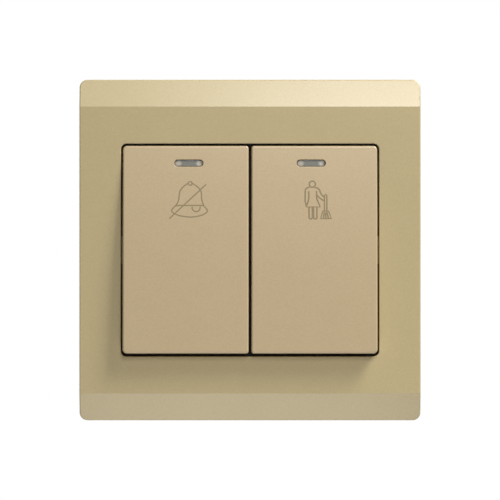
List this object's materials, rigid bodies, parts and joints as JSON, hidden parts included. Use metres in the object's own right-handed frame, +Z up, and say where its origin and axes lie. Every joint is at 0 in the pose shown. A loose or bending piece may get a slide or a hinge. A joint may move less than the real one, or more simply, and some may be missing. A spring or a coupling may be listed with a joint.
{
  "type": "double rocker light switch",
  "caption": "Square wall plate with sloped top and bottom bands and a pair of tall rockers with oblong indicator windows, on a steel frame with a housing behind.",
  "frame": {"origin": "middle of the plate on the wall's face, midway between the two wall-screw slots", "axes": "+X to the right seen from the room, +Y into the wall, +Z up"},
  "size_m": [0.086, 0.0341, 0.086],
  "materials": {
    "gold_lacquer": "satin champagne-gold metallic lacquer on moulded plastic",
    "clear_window": "smoke-clear moulded window",
    "white_plastic": "white moulded plastic",
    "dark_plastic": "near-black moulded plastic",
    "grey_plastic": "pale grey moulded flame-retardant plastic",
    "black_steel": "black-passivated sheet steel",
    "plated_steel": "zinc-plated steel",
    "spring_steel": "drawn spring wire",
    "brass": "rolled brass",
    "copper_alloy": "rolled copper alloy",
    "silver_contact": "silver contact metal",
    "circuit_board": "green circuit board",
    "lamp_lens": "clear lamp lens",
    "resistor_body": "lacquered resistor",
    "tinned_wire": "tinned wire"
  },
  "bodies": {
    "base": {"cover_frame": "gold_lacquer", "support_frame": "black_steel", "mechanism_cover": "dark_plastic", "base_housing": "grey_plastic", "body_screws": "plated_steel", "common_strip_left": "brass", "load_strip_left": "brass", "fixed_contact_tip_left": "silver_contact", "load_terminal_left": "brass", "common_terminal_left": "brass", "load_terminal_screw_left": "plated_steel", "common_terminal_screw_left": "plated_steel", "indicator_board_left": "circuit_board", "indicator_lamp_left": "lamp_lens", "indicator_resistor_left": "resistor_body", "indicator_pin_left": "tinned_wire", "indicator_lead_left": "tinned_wire", "common_strip_right": "brass", "load_strip_right": "brass", "fixed_contact_tip_right": "silver_contact", "load_terminal_right": "brass", "common_terminal_right": "brass", "load_terminal_screw_right": "plated_steel", "common_terminal_screw_right": "plated_steel", "indicator_board_right": "circuit_board", "indicator_lamp_right": "lamp_lens", "indicator_resistor_right": "resistor_body", "indicator_pin_right": "tinned_wire", "indicator_lead_right": "tinned_wire"},
    "rocker_left": {"rocker_left": "gold_lacquer", "indicator_window_left": "clear_window", "actuator_left": "white_plastic", "plunger_spring_left": "spring_steel"},
    "plunger_left": {"plunger_left": "white_plastic"},
    "contact_left": {"moving_contact_left": "copper_alloy", "moving_contact_tip_left": "silver_contact"},
    "rocker_right": {"rocker_right": "gold_lacquer", "indicator_window_right": "clear_window", "actuator_right": "white_plastic", "plunger_spring_right": "spring_steel"},
    "plunger_right": {"plunger_right": "white_plastic"},
    "contact_right": {"moving_contact_right": "copper_alloy", "moving_contact_tip_right": "silver_contact"}
  },
  "joints": [
    {"name": "rocker_tilt_left", "type": "hinge", "parent": "base", "child": "rocker_left", "pos_m": [-0.01213, -0.005, 0], "axis": [1, 0, 0], "range_deg": [0, 7]},
    {"name": "plunger_slide_left", "type": "slide", "parent": "rocker_left", "child": "plunger_left", "axis": [0, -0.9981, 0.061], "range_m": [0, 0.0012], "stiffness_N_per_m": 300, "springref_m": -0.003, "deforming": ["plunger_spring_left"]},
    {"name": "contact_tilt_left", "type": "hinge", "parent": "base", "child": "contact_left", "pos_m": [-0.01213, 0.0084, 0], "axis": [1, 0, 0], "range_deg": [-14, 0]},
    {"name": "rocker_tilt_right", "type": "hinge", "parent": "base", "child": "rocker_right", "pos_m": [0.01213, -0.005, 0], "axis": [1, 0, 0], "range_deg": [0, 7]},
    {"name": "plunger_slide_right", "type": "slide", "parent": "rocker_right", "child": "plunger_right", "axis": [0, -0.9981, 0.061], "range_m": [0, 0.0012], "stiffness_N_per_m": 300, "springref_m": -0.003, "deforming": ["plunger_spring_right"]},
    {"name": "contact_tilt_right", "type": "hinge", "parent": "base", "child": "contact_right", "pos_m": [0.01213, 0.0084, 0], "axis": [1, 0, 0], "range_deg": [-14, 0]}
  ],
  "couplings": [
    {"joint": "contact_tilt_left", "follows": "rocker_tilt_left", "ratio": -2},
    {"joint": "contact_tilt_right", "follows": "rocker_tilt_right", "ratio": -2}
  ]
}
